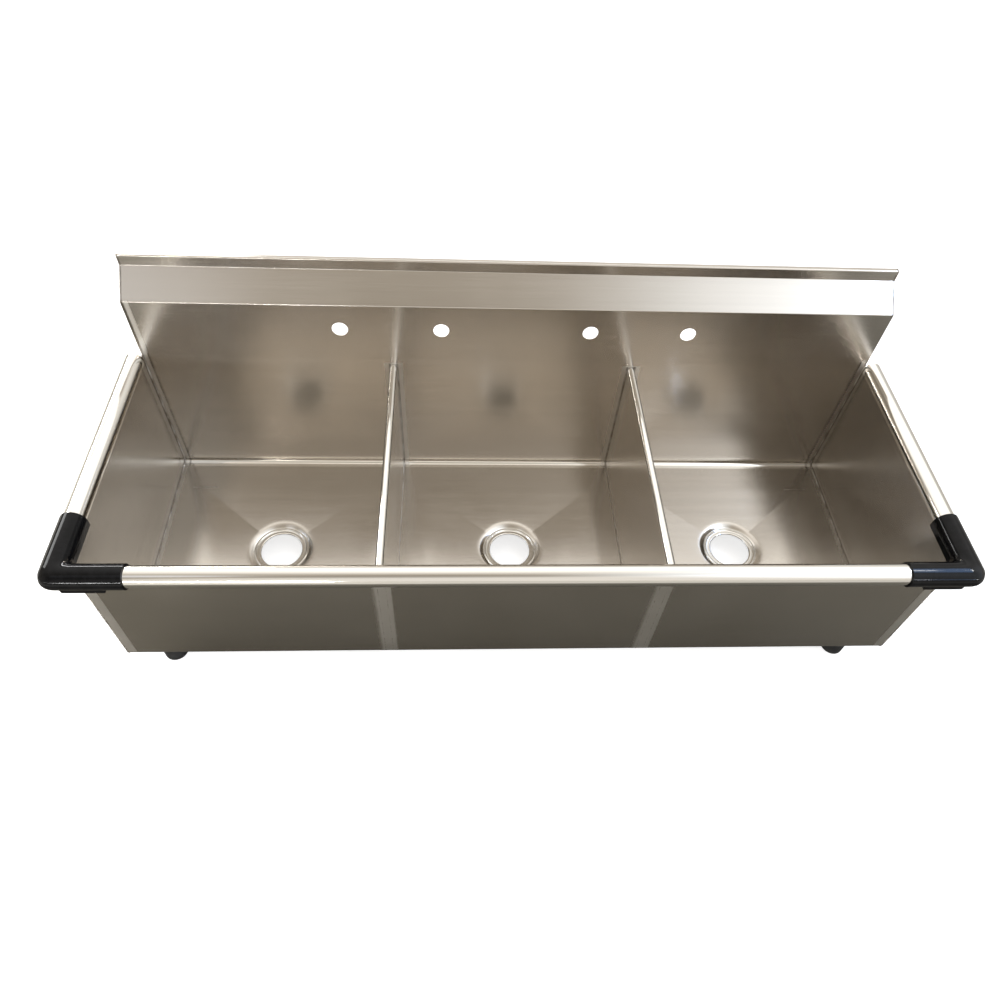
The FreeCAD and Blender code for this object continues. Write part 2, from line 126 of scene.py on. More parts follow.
# %% Node tree helper
class Tree:
    """A node tree that is filled by calls."""

    def __init__(self, tree):
        self.tree = tree

    def add(self, kind, settings=None, **inputs):
        """Add a node, with its settings as attributes and its inputs by name."""
        node = self.tree.nodes.new(kind)
        for name, value in (settings or {}).items():
            setattr(node, name, value)
        for name, value in inputs.items():
            self.feed(node, name.replace("_", " "), value)
        return node

    def feed(self, node, name, value):
        """Set an input to a number, or link it to a socket."""
        socket = node.inputs[int(name)] if name.isdigit() else node.inputs[name]
        if isinstance(value, bpy.types.NodeSocket):
            self.tree.links.new(value, socket)
        else:
            socket.default_value = value

    def math(self, work, *values):
        """Add a math node and return its result."""
        node = self.tree.nodes.new("ShaderNodeMath")
        node.operation = work
        for number, value in enumerate(values):
            self.feed(node, str(number), value)
        return node.outputs[0]

    def ramp(self, value, start, stop, low=0.0, high=1.0):
        """Turn a value into low before start and high after stop, with a smooth way between."""
        node = self.add("ShaderNodeMapRange", {"interpolation_type": "SMOOTHSTEP"})
        for name, given in (("Value", value), ("From Min", start), ("From Max", stop),
                            ("To Min", low), ("To Max", high)):
            self.feed(node, name, given)
        return node.outputs["Result"]

    def blend(self, share, first, second):
        """Mix two colours."""
        node = self.add("ShaderNodeMix", {"data_type": "RGBA"})
        self.feed(node, "0", share)
        self.feed(node, "6", first)
        self.feed(node, "7", second)
        return node.outputs[2]


def new_finish(name):
    """Make a material and return it with its tree, its shader and the place on the sink."""
    finish = bpy.data.materials.new(name)
    finish.use_nodes = True
    tree = Tree(finish.node_tree)
    shader = finish.node_tree.nodes["Principled BSDF"]
    place = tree.add("ShaderNodeTexCoord").outputs["Object"]
    return finish, tree, shader, place


def noise(tree, place, scale, detail=2.0, stretch=(1, 1, 1), contrast=None):
    """Sample a noise that is stretched along the axes with a small factor."""
    mapping = tree.add("ShaderNodeMapping", Vector=place, Scale=stretch)
    texture = tree.add("ShaderNodeTexNoise", Vector=mapping.outputs[0], Scale=scale, Detail=detail)
    value = texture.outputs[0]
    return tree.ramp(value, 0.5 - contrast, 0.5 + contrast) if contrast else value


print("helpers ready")

# %% [markdown]
# ## Floor, surroundings and light
#
# Steel shows what stands around it. The floor is plain and pale, and a part of its brightness is its
# own glow, so shadows stay light. But sheet steel over a pale floor turns into a white slab, so studios
# lay dark cards out of sight. Here the floor near the sink answers mirror rays with a darker tone, as
# such cards would, and grows light again further out. The surroundings are a plain warm grey with soft
# round patches of light behind, to the right and in front, two darker cards in front and a haze low
# behind. These draw the bands along the rims and make one slope of a bowl differ from the next. Small
# lamps then draw the sharp highlights of the black guards: a bluish window with two bright edges on the
# right one, and strips behind, beside and in front of the left one.

# %% Pale floor
CARD_WIDTH, CARD_FADES = 0.4, 0.95
bpy.ops.mesh.primitive_plane_add(size=40, location=(0, 0, 0))
floor = bpy.context.object
floor.name = "floor"
pale, tree, shader, place = new_finish("pale_floor")
ways = tree.add("ShaderNodeLightPath").outputs
spot = tree.add("ShaderNodeSeparateXYZ", Vector=place).outputs
beside = tree.math("SUBTRACT", tree.math("ABSOLUTE", spot[0]), cad_box[1].x)
before = tree.math("SUBTRACT", tree.math("ABSOLUTE", spot[1]), cad_box[1].y)
card_end = tree.ramp(tree.math("MAXIMUM", beside, before), CARD_WIDTH, CARD_FADES)
mirror_tone = tree.blend(card_end, (0.13, 0.122, 0.102, 1), (0.62, 0.60, 0.55, 1))
tree.feed(shader, "Base Color", tree.blend(ways["Is Glossy Ray"], (0.8, 0.8, 0.8, 1), mirror_tone))
tree.feed(shader, "Emission Strength", tree.math("MULTIPLY", ways["Is Camera Ray"], 0.72))
shader.inputs["Emission Color"].default_value = (1, 1, 1, 1)
shader.inputs["Roughness"].default_value = 0.9
shader.inputs["Specular IOR Level"].default_value = 0.1
floor.data.materials.append(pale)

# %% Surroundings
PLAIN_GREY = (0.56, 0.505, 0.425)
PATCHES = (
    # direction (right, back, up), full within and gone beyond these angles, added colour
    ((0.15, 1.0, 0.7), 25, 80, (1.04, 1.05, 1.06)),
    ((0.80, -0.30, 0.62), 14, 46, (0.98, 1.12, 1.30)),
    ((0.48, -0.50, 0.70), 5, 16, (0.40, 0.42, 0.45)),
    ((-0.42, -0.44, 0.80), 4, 13, (0.42, 0.47, 0.56)),
    ((0.1, -1.0, 0.25), 16, 46, (0.45, 0.46, 0.48)),
)
DARK_CARDS = (
    # direction, full within and gone beyond these angles, share of the light that is left
    ((-0.60, -0.55, 0.57), 8, 20, 0.55),
    ((-0.05, -0.62, 0.78), 9, 17, 0.72),
)
# The haze is full up to the first height of the direction, gone at the second, and leaves this share.
HAZE_UP, HAZE_CLEAR, HAZE_TONE = 0.44, 0.56, 0.5

world = bpy.data.worlds.new("studio")
scene.world = world
world.use_nodes = True
sky = Tree(world.node_tree)
direction = sky.add("ShaderNodeTexCoord").outputs["Generated"]


def patch_share(axis, inner, outer, middle_value=1.0, outside_value=0.0):
    """A soft round patch of sky: one value within the inner angle, another beyond the outer."""
    towards = sky.add("ShaderNodeVectorMath", {"operation": "DOT_PRODUCT"})
    sky.feed(towards, "0", direction)
    sky.feed(towards, "1", Vector(axis).normalized())
    limits = [math.cos(math.radians(angle)) for angle in (outer, inner)]
    return sky.ramp(towards.outputs["Value"], *limits, outside_value, middle_value)


def added_light(total, colour, share):
    """Add a colour times a share to the light so far."""
    tinted = sky.add("ShaderNodeVectorMath", {"operation": "SCALE"}, Scale=share)
    sky.feed(tinted, "0", colour)
    together = sky.add("ShaderNodeVectorMath", {"operation": "ADD"})
    sky.feed(together, "0", total)
    sky.feed(together, "1", tinted.outputs[0])
    return together.outputs[0]


light_so_far = PLAIN_GREY
for axis, inner, outer, colour in PATCHES:
    light_so_far = added_light(light_so_far, colour, patch_share(axis, inner, outer))
left_over = 1.0
for axis, inner, outer, share in DARK_CARDS:
    left_over = sky.math("MULTIPLY", left_over, patch_share(axis, inner, outer, share, 1.0))
heading = sky.add("ShaderNodeSeparateXYZ", Vector=direction).outputs
low_down = sky.ramp(heading[2], HAZE_CLEAR, HAZE_UP)
low_share = sky.math("MULTIPLY", low_down, sky.ramp(heading[1], 0.2, 0.5))
haze = sky.math("MULTIPLY", low_share, 1 - HAZE_TONE)
left_over = sky.math("MULTIPLY", left_over, sky.math("SUBTRACT", 1.0, haze))
dimmed = sky.add("ShaderNodeVectorMath", {"operation": "SCALE"}, Scale=left_over)
sky.feed(dimmed, "0", light_so_far)
straight = sky.add("ShaderNodeLightPath").outputs["Is Camera Ray"]
background = world.node_tree.nodes["Background"]
sky.feed(background, "Color", sky.blend(straight, dimmed.outputs[0], (0.95, 0.95, 0.95, 1)))
background.inputs["Strength"].default_value = 1.0


# %% Studio lights
def softbox(name, place, aim, width, height, radiance, colour=(1, 1, 1)):
    """Add a rectangular light that points at a spot, with a given brightness of its face."""
    data = bpy.data.lights.new(name, "AREA")
    data.shape = "RECTANGLE"
    data.size, data.size_y = width, height
    data.energy = radiance * math.pi * width * height
    data.color = colour
    light = bpy.data.objects.new(name, data)
    heading = Vector(aim) - Vector(place)
    light.matrix_world = Matrix.Translation(place) @ heading.to_track_quat("-Z", "Y").to_matrix().to_4x4()
    scene.collection.objects.link(light)


softbox("right_window", (1.82, -0.22, 2.0), (0.75, -0.28, 0.38), 1.0, 0.3, 8, (0.25, 0.5, 1.0))
softbox("window_edge_near", (1.72, -0.22, 2.05), (0.69, -0.3, 0.38), 0.3, 0.06, 34)
softbox("window_edge_far", (1.98, -0.22, 1.93), (0.8, -0.3, 0.38), 0.35, 0.08, 48)
softbox("back_strip", (-1.7, 1.6, 1.13), (-0.72, -0.28, 0.38), 1.6, 0.16, 26)
softbox("left_fill", (-2.3, 0.76, 1.22), (-0.78, -0.2, 0.38), 0.7, 0.7, 8)
softbox("front_strip", (-1.5, -2.0, 0.5), (-0.72, -0.28, 0.38), 1.8, 0.05, 60)

# %% [markdown]
# ## Brushed sheet steel
#
# The sheet is sanded along its length in the mill, so it carries fine parallel lines. Up close the
# lines show, and from a distance they only blur a mirror across the grain. The lines could be painted,
# but a height pattern is better, because light then breaks on it as on the real thing. After welding,
# the maker dresses seams and bends again, and these strips are smoother and lighter. The lighter colour
# of the polishing on bends and drain dishes is a painted highlight, and a tone below one that darkens
# whole sheets is painted shade. Each finish below takes a list of such strips, each a product of soft
# limits along the axes.

# %% Brushed steel maker
AXES = {"X": 0, "Y": 1, "Z": 2}


def soft_limits(tree, coordinates, limits):
    """Multiply soft limits: each is (axis, middle, half width, softness)."""
    share = 1.0
    for axis, middle, half, soft in limits:
        offset = tree.math("ABSOLUTE", tree.math("SUBTRACT", coordinates[AXES[axis]], middle))
        share = tree.math("MULTIPLY", share, tree.ramp(offset, half + soft, half))
    return share


def dressed_share(tree, coordinates, strips):
    """Add up all strips and keep the sum between 0 and 1."""
    total = 0.0
    for strip in strips:
        total = tree.math("ADD", total, soft_limits(tree, coordinates, strip))
    return tree.math("MINIMUM", total, 1.0)


def brushed_steel(name, grain, polish_and_highlight_strips=(), dressed=(), sooted=(), ring=None, tone=1.0, polish_highlight_tone=0.76):
    """Sheet with a grain, polishing on bends and drain ring with a painted highlight, dressed bands, soot
    beside welds, and painted shade where the tone is below 1.
    """
    finish, tree, shader, place = new_finish(name)
    split = tree.add("ShaderNodeSeparateXYZ", Vector=place)
    coordinates = split.outputs
    across = [0.006 if axis == grain else 1.0 for axis in "XYZ"]
    lines = noise(tree, place, 1400, 3.0, across, 0.25)
    bands = noise(tree, place, 60, 2.0, across, 0.35)
    clouds = noise(tree, place, 5, 2.0, contrast=0.25)
    polish_and_highlight = dressed_share(tree, coordinates, polish_and_highlight_strips)
    if ring:
        middle, radius = ring
        away = tree.add("ShaderNodeVectorMath", {"operation": "DISTANCE"})
        flat = tree.add("ShaderNodeCombineXYZ", X=coordinates[0], Y=coordinates[1])
        tree.feed(away, "0", flat.outputs[0])
        tree.feed(away, "1", (middle.x, middle.y, 0))
        polish_and_highlight = tree.ramp(away.outputs["Value"], radius + 2 * MM, radius)
    dress = dressed_share(tree, coordinates, dressed)
    # A tone below 1 darkens the whole sheet: painted shade.
    dull, bright = [(share * tone, share * tone * 0.935, share * tone * 0.85, 1)
                    for share in (0.60, 0.64)]
    colour = tree.blend(bands, dull, bright)
    colour = tree.blend(tree.math("MULTIPLY", lines, 0.12), colour, (0.74, 0.71, 0.66, 1))
    # Polished strips and the drain ring: the lower roughness is real polish, the lighter colour is a
    # painted highlight.
    colour = tree.blend(polish_and_highlight, colour, (polish_highlight_tone, polish_highlight_tone * 0.968, polish_highlight_tone * 0.91, 1))
    colour = tree.blend(tree.math("MULTIPLY", dress, 0.5), colour, (0.78, 0.755, 0.71, 1))
    soot = dressed_share(tree, coordinates, sooted)
    patchy = noise(tree, place, 120, 3.0, contrast=0.3)
    soot = tree.math("MULTIPLY", soot, tree.math("ADD", 0.35, tree.math("MULTIPLY", patchy, 0.5)))
    tree.feed(shader, "Base Color", tree.blend(soot, colour, (0.12, 0.10, 0.08, 1)))
    shader.inputs["Metallic"].default_value = 1.0
    rough = tree.math("ADD", 0.17, tree.math("MULTIPLY", lines, 0.05))
    rough = tree.math("ADD", rough, tree.math("MULTIPLY", clouds, 0.05))
    rough = tree.math("SUBTRACT", rough, tree.math("MULTIPLY", polish_and_highlight, 0.09))
    rough = tree.math("ADD", rough, tree.math("MULTIPLY", dress, 0.14))
    tree.feed(shader, "Roughness", rough)
    shader.inputs["Anisotropic"].default_value = 0.6
    shader.inputs["Anisotropic Rotation"].default_value = 0.25
    grain_way = tree.add("ShaderNodeCombineXYZ", **{axis: float(axis == grain) for axis in "XYZ"})
    tree.feed(shader, "Tangent", grain_way.outputs[0])
    calm = tree.math("SUBTRACT", 1.0, tree.math("MULTIPLY", polish_and_highlight, 0.85))
    height = tree.math("MULTIPLY", tree.math("ADD", lines, bands), calm)
    grain_bump = tree.add("ShaderNodeBump", Height=height, Strength=0.05, Distance=0.00003)
    swell = noise(tree, place, 3.2, 1.0)
    sheet_bump = tree.add("ShaderNodeBump", Height=swell, Strength=tree.math("MULTIPLY", calm, 0.5),
                          Distance=0.0025, Normal=grain_bump.outputs[0])
    tree.feed(shader, "Normal", sheet_bump.outputs[0])
    return finish


def wear(node_name, finish):
    """Give a CAD piece its finish."""
    node = nodes[node_name]
    node.data.materials.clear()
    node.data.materials.append(finish)


# %% Strips of the apron, the rims and the end walls
RIM_MIDDLE, RIM_HALF = 21 * MM, 18 * MM
CURL_HEIGHT = ("Z", rim_top, 40 * MM, 2 * MM)
ON_APRON = ("Y", apron_y, 4 * MM, MM)
# The light streak over each divider seam: offset, half width and softness.
STREAK = ((0, 8 * MM, 14 * MM), (-9 * MM, MM, 3 * MM), (13 * MM, MM, 3 * MM))

# Strips that are polished smooth and also painted lighter as a highlight: rim crowns, curls, coves and
# the divider fold.
rim_crown = [("Z", rim_top, RIM_MIDDLE, 2 * MM)]
front_curl = [("Y", apron_y - RIM_MIDDLE, RIM_HALF, MM), CURL_HEIGHT]
end_curls = [[("X", side * (end_x + RIM_MIDDLE), RIM_HALF, MM), CURL_HEIGHT] for _, side in SIDES]
low_cove = [("Z", floor_z, 11 * MM, 3 * MM)]
fold_polish_and_highlight = [("Z", divider_top, 9 * MM, 3 * MM)]
foot_dressing = [("Z", floor_z, 6 * MM, 2 * MM)]
streaks = [[("X", side * divider_x + offset, half, soft), ON_APRON]
           for _, side in SIDES for offset, half, soft in STREAK]
corner_strips = [[("X", side * (end_x - 9 * MM), 8 * MM, 2 * MM), ON_APRON] for _, side in SIDES]
end_soot = [[("Y", splash_y, 4 * MM, 3 * MM), ("Z", floor_z, 0.32, 5 * MM)],
            [("Z", floor_z, 5 * MM, 4 * MM), ("Y", 0, 0.35, MM)]]

# %% Strips of the splash
BOWL_SPAN = ("Z", floor_z + 165 * MM, 165 * MM, 15 * MM)
UPPER_SPAN = ("Z", floor_z + 395 * MM, 60 * MM, 8 * MM)
RETURN_SPAN = ("Z", floor_z + 500 * MM, 45 * MM, 3 * MM)


def by_end(inset, half, soft, span, sides=(-1, 1)):
    """Upright strips of the splash at a distance from its ends."""
    return [[("X", side * (end_x - inset), half, soft), span] for side in sides]


def by_divider(half, soft_x, soft_z):
    """Upright strips of the splash behind the dividers."""
    span = ("Z", 0.2, divider_top - 0.2, soft_z)
    return [[("X", side * divider_x, half, soft_x), span] for _, side in SIDES]


splash_dressing = by_end(6 * MM, 4 * MM, MM, BOWL_SPAN)
splash_dressing += by_end(9 * MM, 2.5 * MM, 4 * MM, UPPER_SPAN, sides=(-1,))
splash_dressing += by_divider(17 * MM, 4 * MM, 6 * MM)
splash_soot = by_end(0, 2 * MM, 1.5 * MM, BOWL_SPAN)
splash_soot += by_end(0, 3 * MM, 3 * MM, UPPER_SPAN, sides=(-1,))
splash_soot += by_end(MM, 1.2 * MM, MM, RETURN_SPAN)
splash_soot += by_end(13 * MM, MM, 2 * MM, BOWL_SPAN)
splash_soot += by_divider(9 * MM, 2 * MM, 3 * MM)
print("splash strips:", len(splash_dressing), "dressed,", len(splash_soot), "sooted")

# %% Finishes of the sheets
apron_steel = brushed_steel("apron_steel", "X", [rim_crown, front_curl, low_cove],
                            streaks + corner_strips)
# The splash's cove is painted brightest of all: a painted highlight over its polishing.
splash_steel = brushed_steel("splash_steel", "X", [low_cove], splash_dressing, splash_soot, polish_highlight_tone=0.95)
# End walls and dividers are the same sheet as the apron, darkened by a lower tone: painted shade.
end_steel = brushed_steel("end_wall_steel", "Y", [rim_crown] + end_curls, (), end_soot, tone=0.54)
divider_steel = brushed_steel("divider_steel", "Y", [fold_polish_and_highlight], [foot_dressing], tone=0.88)
cap_steel = brushed_steel("cap_steel", "Z")
wear("front_apron", apron_steel)
wear("back_sheet", splash_steel)
for side_name, _ in SIDES:
    wear(f"end_panel_{side_name}", end_steel)
    wear(f"divider_{side_name}", divider_steel)
    wear(f"splash_end_cap_{side_name}", cap_steel)
print("sheet finishes:", [item.name for item in bpy.data.materials if item.name.endswith("steel")])

# %% [markdown]
# ## Bowl floors
#
# A real floor is pressed: four shallow slopes meet in creases that are sharp near the drain and fade
# towards the border, and the dish round the drain has soft shoulders. The CAD pan has flat facets, so
# a finer skin replaces it. It is a fan of rings round the drain, because then mesh lines can follow the
# creases and the round steps. Each height comes from one short formula.

# %% Floor heights
FALL = 11 * MM
FALL_X, FALL_Y = 200 * MM, 168 * MM
SHEET = 1.2 * MM
# Radius and height in millimetres: the drain's edge, the flat ring, a low step and the foot of the wall.
RING_STEPS = ((44.5, -15.2), (45.0, -14.5), (46.2, -14.05), (48.0, -14.0), (53.6, -14.0),
              (54.2, -13.8), (55.2, -12.6), (55.9, -12.35), (57.2, -12.35), (57.8, -12.6),
              (58.4, -13.15), (59.2, -13.25), (59.9, -12.9), (60.8, -12.3))
WALL_SLOPE = 1.55
CREASE_SHARP, CREASE_SOFT = 150, 40
CREASE_FADES = 0.92


def smooth_fall(dx, dy):
    """Depth of the four slopes at a distance from the drain."""
    across, along = abs(dx) / FALL_X, abs(dy) / FALL_Y
    reach = max(across, along)
    faded = min(max((reach - CREASE_FADES) / (1 - CREASE_FADES), 0), 1)
    sharpness = CREASE_SHARP - (CREASE_SHARP - CREASE_SOFT) * faded
    blended = (across ** sharpness + along ** sharpness) ** (1 / sharpness)
    rest = 1 - blended
    return -FALL * (rest + math.sqrt(rest * rest + 0.001)) / 2


def dish_wall(radius):
    """Height of the sloping wall round the ring, as a straight cone."""
    foot_radius, foot_height = RING_STEPS[-1]
    return foot_height * MM + (radius - foot_radius * MM) / WALL_SLOPE


def lower_of(first, second, softness):
    """The lower of two heights, with a round shoulder where they meet."""
    gap = first - second
    return (first + second - math.sqrt(gap * gap + softness * softness)) / 2


def edge_distance(angle, drain, low, high):
    """Distance from the drain to the edge of the pan in one direction."""
    cosine, sine = math.cos(angle), math.sin(angle)
    spans = []
    if abs(cosine) > 1e-9:
        spans.append(((high.x if cosine > 0 else low.x) - drain.x) / cosine)
    if abs(sine) > 1e-9:
        spans.append(((high.y if sine > 0 else low.y) - drain.y) / sine)
    return min(spans)


# %% Floor mesh
def fan_angles(drain, low, high):
    """Directions for the fan: even steps, the four creases and the four corners."""
    angles = {round(math.radians(step), 6) for step in range(0, 360, 3)}
    for sign_x in (-1, 1):
        for sign_y in (-1, 1):
            crease = math.atan2(sign_y * FALL_Y, sign_x * FALL_X)
            for offset in (-2.2, -1.1, -0.45, 0, 0.45, 1.1, 2.2):
                angles.add(round((crease + math.radians(offset)) % math.tau, 6))
            corner_x = high.x if sign_x > 0 else low.x
            corner_y = high.y if sign_y > 0 else low.y
            angles.add(round(math.atan2(corner_y - drain.y, corner_x - drain.x) % math.tau, 9))
    return sorted(angles)


def pressed_floor(name, drain, low, high, finish):
    """Build one floor skin with its underside and closed edges."""
    angles = fan_angles(drain, low, high)
    outward = 30
    rows = []
    for angle in angles:
        cosine, sine = math.cos(angle), math.sin(angle)
        edge = edge_distance(angle, drain, low, high)
        row = [(radius * MM, height * MM) for radius, height in RING_STEPS]
        start = 62 * MM
        for step in range(outward + 1):
            share = step / outward
            radius = start + (edge - start) * share ** 1.3
            height = lower_of(smooth_fall(radius * cosine, radius * sine), dish_wall(radius), 1.6 * MM)
            row.append((radius, height * (1 - share ** 10)))
        rows.append([(drain.x + radius * cosine, drain.y + radius * sine, drain.z + height)
                     for radius, height in row])
    length = len(rows[0])
    count = len(rows)
    points = [point for row in rows for point in row]
    points += [(x, y, z - SHEET) for x, y, z in points]
    under = count * length
    faces = []
    for i in range(count):
        j = (i + 1) % count
        for k in range(length - 1):
            a, b, c, d = i * length + k, i * length + k + 1, j * length + k + 1, j * length + k
            faces.append((a, b, c, d))
            faces.append((under + d, under + c, under + b, under + a))
        inner, following = i * length, j * length
        faces.append((inner, following, under + following, under + inner))
        outer, next_outer = inner + length - 1, following + length - 1
        faces.append((next_outer, outer, under + outer, under + next_outer))
    return finished_mesh(name, points, faces, finish, 35)


def finished_mesh(name, points, faces, finish, sharp_angle):
    """Make an object from points and faces, shaded smooth except at sharp edges."""
    mesh = bpy.data.meshes.new(name)
    mesh.from_pydata(points, [], faces)
    mesh.shade_smooth()
    mesh.set_sharp_from_angle(angle=math.radians(sharp_angle))
    mesh.materials.append(finish)
    piece = bpy.data.objects.new(name, mesh)
    scene.collection.objects.link(piece)
    return piece


# %% Lay the three floors
for bowl, drain in drains.items():
    low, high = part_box(f"floor_pan_{bowl}")
    side_seams = [[("X", edge, 7 * MM, 2 * MM)] for edge in (low.x, high.x)]
    # The drain dish is smoother and painted lighter: a painted highlight over real polish.
    floor_steel = brushed_steel(f"floor_steel_{bowl}", "X", dressed=side_seams, ring=(drain, 61 * MM))
    pan = pressed_floor(f"pressed_floor_{bowl}", drain, low, high, floor_steel)
    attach(pan, "sink")
    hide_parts(f"floor_pan_{bowl}")
    print(pan.name, len(pan.data.polygons), "faces")

# %% [markdown]
# ## Corner guards
#
# Each guard is one moulding: a sleeve that slips over the rolled rim of the front and of the side, open
# below where it straddles the walls, with a round outer corner, a filleted inner corner and a flat pad
# underneath. A boolean of tubes would leave a sharp valley inside the corner. So the section is swept
# between two plan curves instead, the inner and the outer edge of the guard, and the fillet comes from
# the inner curve.

# %% Guard sizes
GUARD_RADIUS = 22.5 * MM
SLEEVE_RADIUS = 19.2 * MM
GUARD_LEG = 118 * MM
SKIRT_DROP = 14 * MM
SLIT = 17.7 * MM
FILLET = 13 * MM
OUTER_CORNER = 24 * MM
PARTING = math.radians(31)
PARTING_STEP = 0.3 * MM
BEAD = 0.4 * MM

guard_low, guard_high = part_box("corner_guard_right")
rim_corner = Vector((guard_high.x, guard_low.y, guard_high.z)) + Vector((-1, 1, -1)) * GUARD_RADIUS


# %% Guard section
def guard_section():
    """Closed outline as (share from the inner to the outer edge, height above the rim axis)."""
    def at(radius, degrees):
        angle = math.radians(degrees)
        return (0.5 - radius * math.cos(angle) / (2 * GUARD_RADIUS), radius * math.sin(angle))

    outside = [(0.012, -SKIRT_DROP), (0.0, -SKIRT_DROP + 0.6 * MM), (0.0, -SKIRT_DROP * 0.6),
               (0.0, -SKIRT_DROP * 0.2)]
    parting = 180 - math.degrees(PARTING)
    outside += [at(GUARD_RADIUS, degrees) for degrees in range(0, int(parting) - 4, 8)]
    outside += [at(GUARD_RADIUS, parting - 2.6), at(GUARD_RADIUS + BEAD, parting - 1.4),
                at(GUARD_RADIUS + BEAD, parting + 1.4), at(GUARD_RADIUS - PARTING_STEP, parting + 3.2)]
    outside += [at(GUARD_RADIUS - PARTING_STEP * 0.7, degrees)
                for degrees in range(int(parting) + 8, 316, 9)]
    low_end = 0.5 - SLIT / (2 * GUARD_RADIUS)
    outside.append((low_end, -math.sqrt(GUARD_RADIUS ** 2 - SLIT ** 2)))
    inside = [(low_end, -math.sqrt(SLEEVE_RADIUS ** 2 - SLIT ** 2))]
    inside += [at(SLEEVE_RADIUS, degrees) for degrees in range(328, 0, -8)]
    skirt_inside = 0.5 - SLEEVE_RADIUS / (2 * GUARD_RADIUS)
    inside += [(skirt_inside, 0.0), (skirt_inside, -SKIRT_DROP + 0.6 * MM),
               (skirt_inside - 0.012, -SKIRT_DROP)]
    return outside + inside


def plan_stations():
    """Matching points on the inner and the outer edge, from the front leg round to the side leg."""
    turn = GUARD_RADIUS + FILLET
    stations = []
    for step in range(9):
        along = -GUARD_LEG + (GUARD_LEG - turn) * step / 8
        stations.append((Vector((along, GUARD_RADIUS)), Vector((along, -GUARD_RADIUS))))
    straight = turn + GUARD_RADIUS - OUTER_CORNER
    curved = OUTER_CORNER * math.pi / 2
    whole = straight * 2 + curved
    inner_middle = Vector((-turn, turn))
    outer_middle = Vector((GUARD_RADIUS - OUTER_CORNER, -GUARD_RADIUS + OUTER_CORNER))
    steps = 26
    for step in range(1, steps):
        share = step / steps
        angle = share * math.pi / 2
        inner = inner_middle + Vector((math.sin(angle), -math.cos(angle))) * FILLET
        travel = share * whole
        if travel < straight:
            outer = Vector((-turn + travel, -GUARD_RADIUS))
        elif travel > whole - straight:
            outer = Vector((GUARD_RADIUS, turn - (whole - travel)))
        else:
            bend = (travel - straight) / OUTER_CORNER
            outer = outer_middle + Vector((math.sin(bend), -math.cos(bend))) * OUTER_CORNER
        stations.append((inner, outer))
    for step in range(9):
        along = turn + (GUARD_LEG - turn) * step / 8
        stations.append((Vector((-GUARD_RADIUS, along)), Vector((GUARD_RADIUS, along))))
    return stations


# %% Guard mesh
def guard_pad(side):
    """The flat pad under the front leg, as points and faces of a block with slanted ends."""
    near, far, half = 7 * MM, 81 * MM, 15 * MM
    top, bottom = -16 * MM, -27.5 * MM
    points = []
    for height, inset in ((top, 0), (bottom + 1.2 * MM, 0), (bottom, 1.2 * MM)):
        for along, depth in ((-far, -half), (-near, -half), (-near, half), (-far, half)):
            slant = 1.5 * MM if height < top else 0
            x = along + (slant + inset if along == -far else -slant - inset)
            y = depth + (inset if depth < 0 else -inset)
            points.append((side * (rim_corner.x + x), rim_corner.y + y, rim_corner.z + height))
    faces = [(0, 1, 2, 3), (11, 10, 9, 8)]
    for level in (0, 4):
        for k in range(4):
            a, b = level + k, level + (k + 1) % 4
            faces.append((a, a + 4, b + 4, b))
    if side < 0:
        faces = [face[::-1] for face in faces]
    return points, faces


def corner_guard(name, side, finish):
    """Sweep the section round the corner, close both ends and add the pad."""
    section = guard_section()
    points = []
    for inner, outer in plan_stations():
        for share, height in section:
            plan = inner.lerp(outer, share)
            points.append((side * (rim_corner.x + plan.x), rim_corner.y + plan.y, rim_corner.z + height))
    count = len(section)
    rings = len(points) // count
    faces = []
    for ring in range(rings - 1):
        for k in range(count):
            a, b = ring * count + k, ring * count + (k + 1) % count
            faces.append((a, b, b + count, a + count))
    faces.append(tuple(range(count))[::-1])
    faces.append(tuple(range((rings - 1) * count, rings * count)))
    if side < 0:
        faces = [face[::-1] for face in faces]
    pad_points, pad_faces = guard_pad(side)
    start = len(points)
    points += pad_points
    faces += [tuple(start + k for k in face) for face in pad_faces]
    guard = finished_mesh(name, points, faces, finish, 32)
    rounding = guard.modifiers.new("rounding", "BEVEL")
    rounding.width = 0.5 * MM
    rounding.segments = 2
    rounding.limit_method = "ANGLE"
    rounding.angle_limit = math.radians(48)
    return guard


# %% [markdown]
# ## Guard plastic
#
# The guards are black polyethylene with a gloss from the mould. Clear plastic highlights need a low
# roughness, and a faint orange peel keeps the reflections from looking like glass. Fine scuffs from
# handling lift the roughness here and there.

# %% Guard plastic
def moulded_plastic(name):
    """Black glossy plastic with scuffs and a faint orange peel."""
    finish, tree, shader, place = new_finish(name)
    scuffs = noise(tree, place, 90, 4.0, (1, 1, 0.3), 0.18)
    clouds = noise(tree, place, 16, 2.0, contrast=0.25)
    tone = tree.blend(clouds, (0.002, 0.002, 0.0023, 1), (0.004, 0.004, 0.0046, 1))
    scuffed = tree.math("MULTIPLY", scuffs, 0.15)
    tree.feed(shader, "Base Color", tree.blend(scuffed, tone, (0.02, 0.02, 0.021, 1)))
    tree.feed(shader, "Roughness", tree.math("ADD", 0.05, tree.math("MULTIPLY", scuffs, 0.05)))
    shader.inputs["Specular IOR Level"].default_value = 0.15
    peel = tree.add("ShaderNodeBump", Height=noise(tree, place, 420, 2.0), Strength=0.1, Distance=0.00012)
    waves = tree.add("ShaderNodeBump", Height=noise(tree, place, 28, 1.0), Strength=0.35, Distance=0.0006,
                     Normal=peel.outputs[0])
    tree.feed(shader, "Normal", waves.outputs[0])
    return finish


